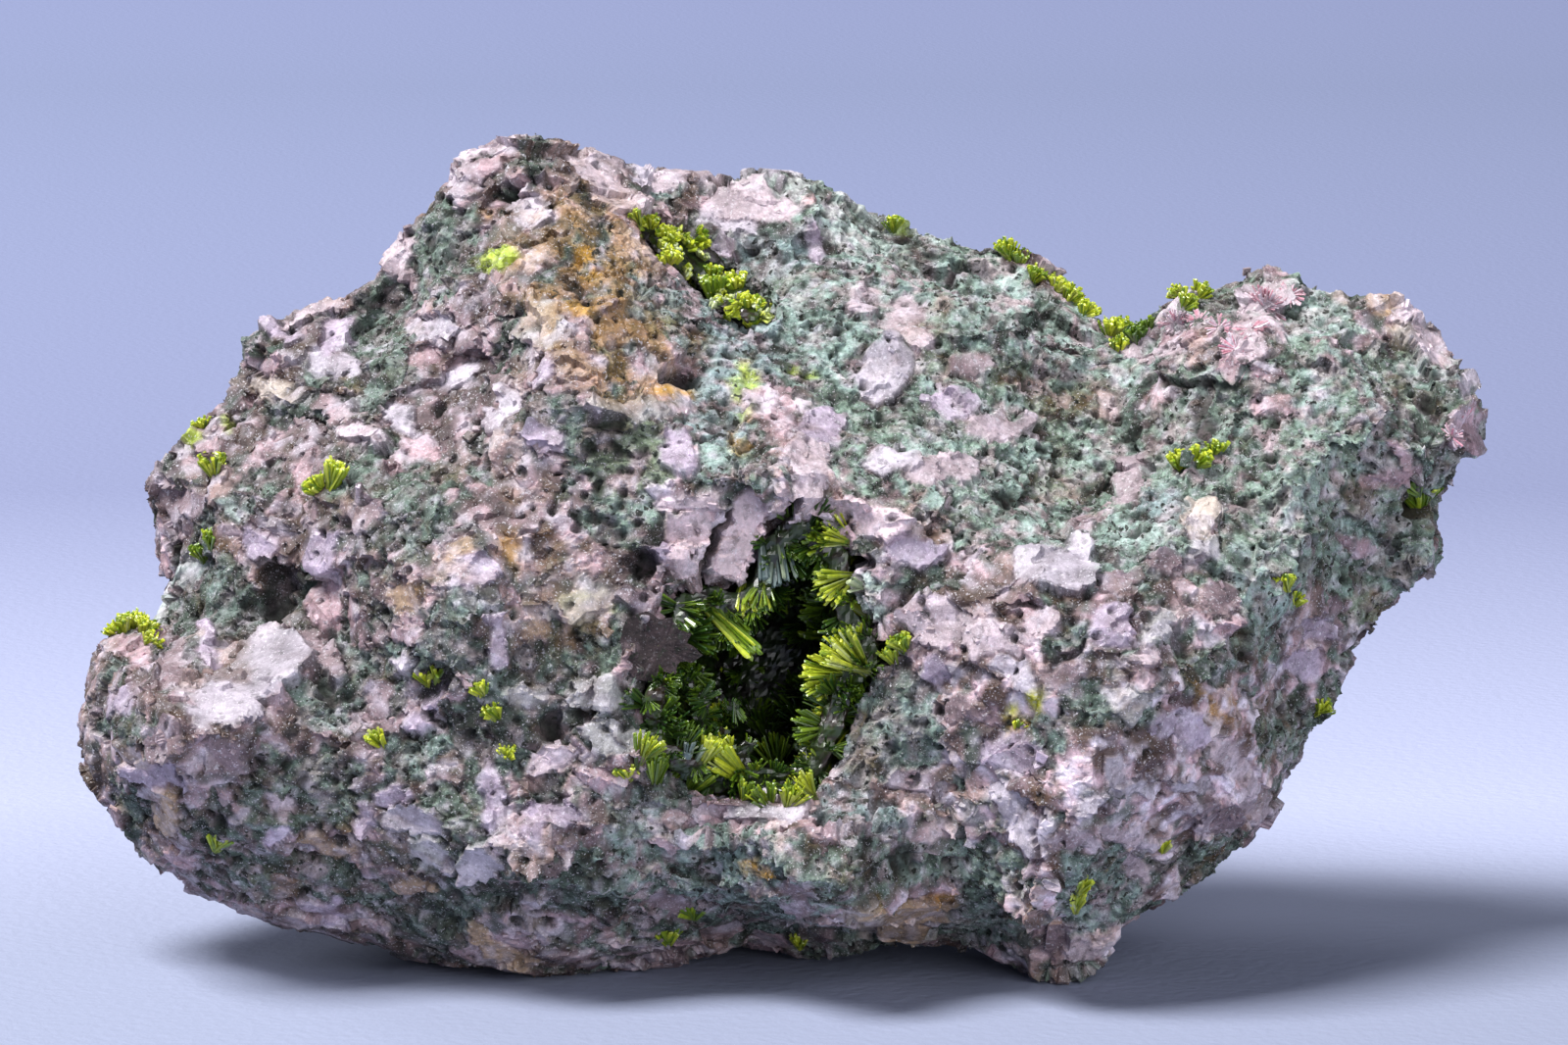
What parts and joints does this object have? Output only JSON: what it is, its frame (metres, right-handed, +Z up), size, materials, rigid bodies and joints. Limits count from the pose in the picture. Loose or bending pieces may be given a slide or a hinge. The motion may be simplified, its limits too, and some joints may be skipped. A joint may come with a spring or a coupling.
{
  "type": "clinozoisite crystal specimen",
  "caption": "Broken lump of pink feldspar and grey-green chlorite with a deep hollow in its front lined by yellow-green clinozoisite crystals, and smaller crystal groups round its top and ends.",
  "frame": {"origin": "on the surface that the lump rests on, under the middle of its box", "axes": "+X to the right along the lump's length as its front is looked at, +Z up; the front with the big hollow faces -Y"},
  "size_m": [0.08, 0.0407, 0.0466],
  "materials": {
    "matrix": "broken pink feldspar mottled with grey-green chlorite, dull with bright cleavage flashes",
    "clinozoisite": "glassy, yellow-green, darker in the hollow"
  },
  "bodies": {
    "root": {"matrix_rock": "matrix", "hollow_crystals": "clinozoisite", "pocket_crystals": "clinozoisite", "saddle_crystals": "clinozoisite", "left_tip_crystals": "clinozoisite", "right_notch_crystals": "clinozoisite"}
  },
  "joints": []
}
